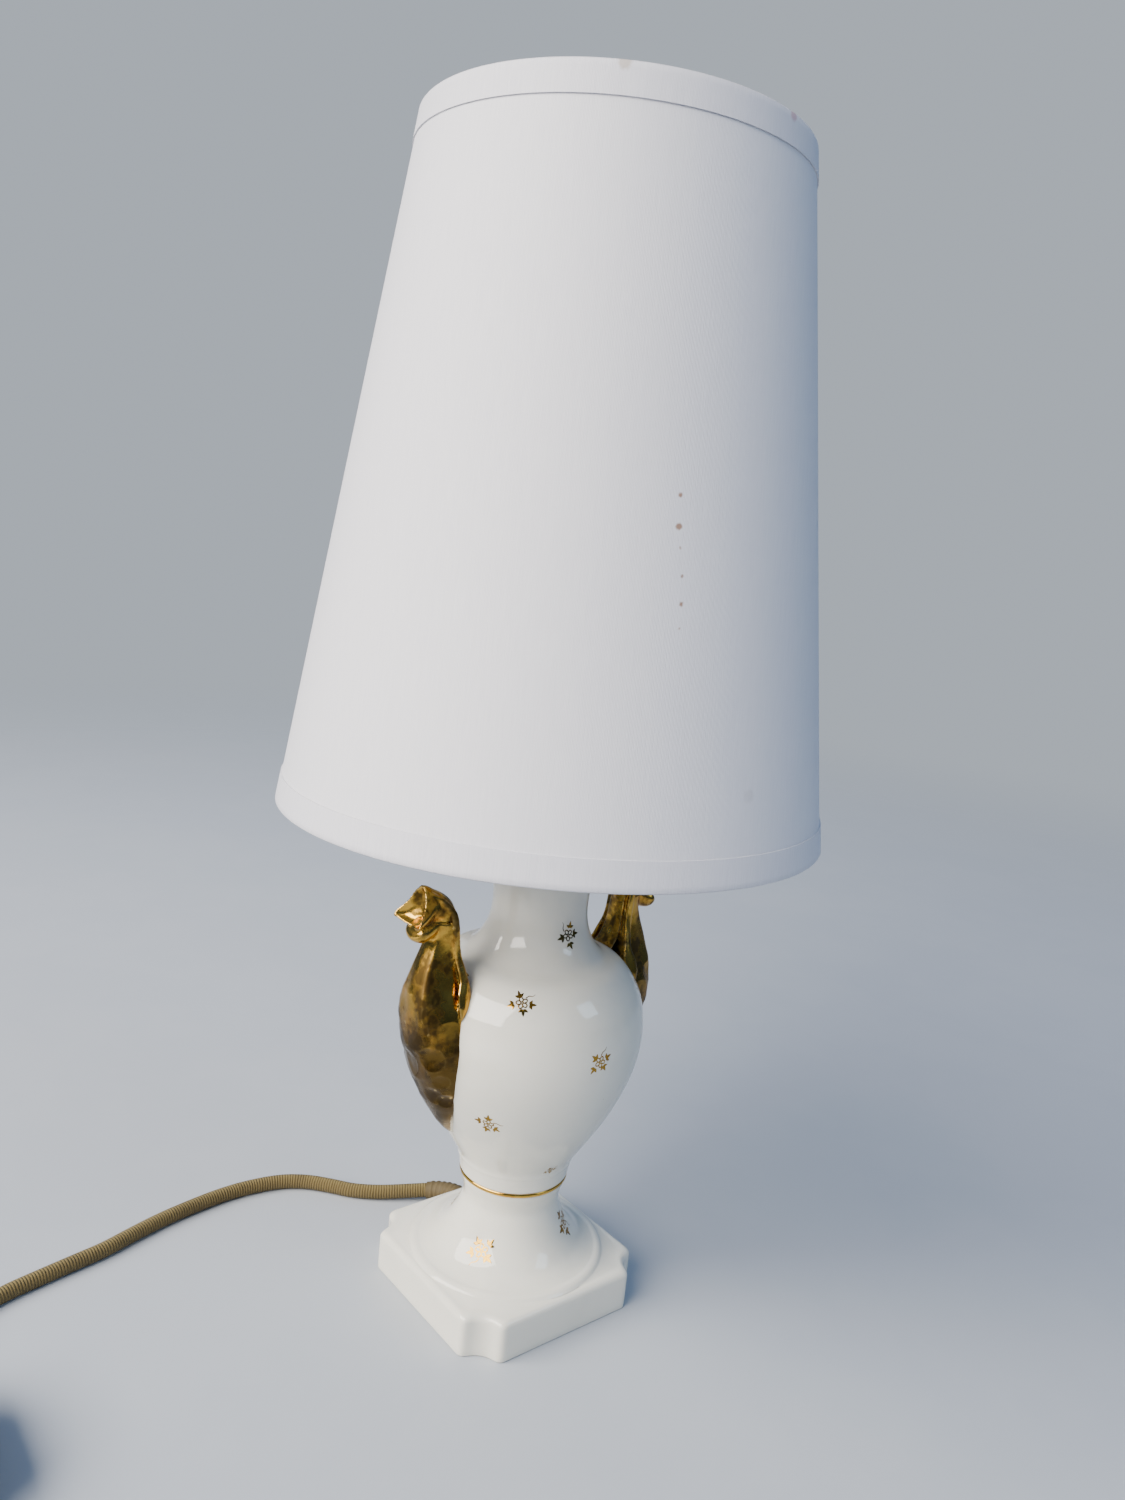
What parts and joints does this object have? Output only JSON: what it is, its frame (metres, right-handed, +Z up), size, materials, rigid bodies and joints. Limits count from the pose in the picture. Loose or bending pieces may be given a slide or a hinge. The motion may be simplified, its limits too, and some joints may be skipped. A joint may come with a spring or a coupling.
{
  "type": "table lamp",
  "caption": "Small table lamp: porcelain urn with two gilded swan-neck handles on a square foot, tall tapered fabric shade, bayonet lampholder, textile cord with rocker switch and two-pin plug.",
  "frame": {"origin": "centre of the foot's underside, on the surface that the lamp stands on", "axes": "+Z up along the lamp's axis, X through the two handles, and the cord leaves the foot towards +Y"},
  "size_m": [0.3931, 0.2221, 0.4275],
  "materials": {
    "porcelain": "cream white transfer-decorated porcelain under a clear gloss glaze",
    "gilded_porcelain": "porcelain under a worn mirror-bright gold lustre",
    "brass": "turned and lacquered",
    "steel": "plated",
    "cushion_rubber": "matt",
    "insulator_ceramic": "unglazed",
    "bulb_glass": "clear",
    "white_wire": "white powder coat",
    "shade_liner": "white translucent laminate",
    "shade_fabric": "white slubbed polyester with a faint satin sheen",
    "shade_tape": "folded strip of the same white polyester",
    "cord_textile": "mustard gold braided textile sheath",
    "bush_rubber": "matt brown",
    "tie_strap": "woven strap",
    "dark_plastic": "dark brown moulded plastic"
  },
  "bodies": {
    "lamp": {"pedestal_foot": "porcelain", "urn_body": "porcelain", "handle_left": "gilded_porcelain", "handle_right": "gilded_porcelain", "threaded_tube": "brass", "base_nut": "brass", "vase_cap": "brass", "lock_nut": "brass", "holder_base": "brass", "holder_sleeve": "brass", "lower_shade_ring": "brass", "terminal_screws": "brass", "switch_contacts": "brass", "plug_pins": "brass", "base_washer": "steel", "plunger_springs": "steel", "switch_screws": "steel", "plug_screw": "steel", "cushion_washer": "cushion_rubber", "holder_insulator": "insulator_ceramic", "internal_lead": "cord_textile", "cord_to_switch": "cord_textile", "cord_to_coil": "cord_textile", "cord_coil": "cord_textile", "cord_to_plug": "cord_textile", "cord_bush": "bush_rubber", "coil_tie": "tie_strap", "switch_base": "dark_plastic", "switch_cover": "dark_plastic", "plug_base": "dark_plastic", "plug_cover": "dark_plastic"},
    "shade": {"shade_spider": "white_wire", "shade_bottom_ring": "white_wire", "shade_top_ring": "white_wire", "shade_liner": "shade_liner", "shade_fabric": "shade_fabric", "shade_bottom_tape": "shade_tape", "shade_top_tape": "shade_tape"},
    "shade_nut": {"upper_shade_ring": "brass"},
    "plungers": {"contact_plungers": "brass"},
    "bulb": {"bulb_cap": "steel", "bulb_glass": "bulb_glass", "bulb_filament": "steel"},
    "rocker": {"switch_rocker": "dark_plastic"}
  },
  "joints": [
    {"name": "shade_turn", "type": "hinge", "parent": "lamp", "child": "shade", "pos_m": [0, 0, 0.213], "axis": [0, 0, 1], "continuous": true},
    {"name": "shade_nut_turn", "type": "hinge", "parent": "lamp", "child": "shade_nut", "pos_m": [0, 0, 0.216], "axis": [0, 0, 1], "range_deg": [0, 360]},
    {"name": "plunger_press", "type": "slide", "parent": "lamp", "child": "plungers", "axis": [0, 0, -1], "range_m": [0, 0.0025], "stiffness_N_per_m": 3000, "springref_m": -0.001, "deforming": ["plunger_springs"]},
    {"name": "bulb_turn", "type": "hinge", "parent": "plungers", "child": "bulb", "pos_m": [0, 0, 0.225], "axis": [0, 0, 1], "range_deg": [0, 22]},
    {"name": "switch_rock", "type": "hinge", "parent": "lamp", "child": "rocker", "pos_m": [-0.201, 0.01, 0.013], "axis": [1, 0, 0], "range_deg": [0, 18]}
  ]
}
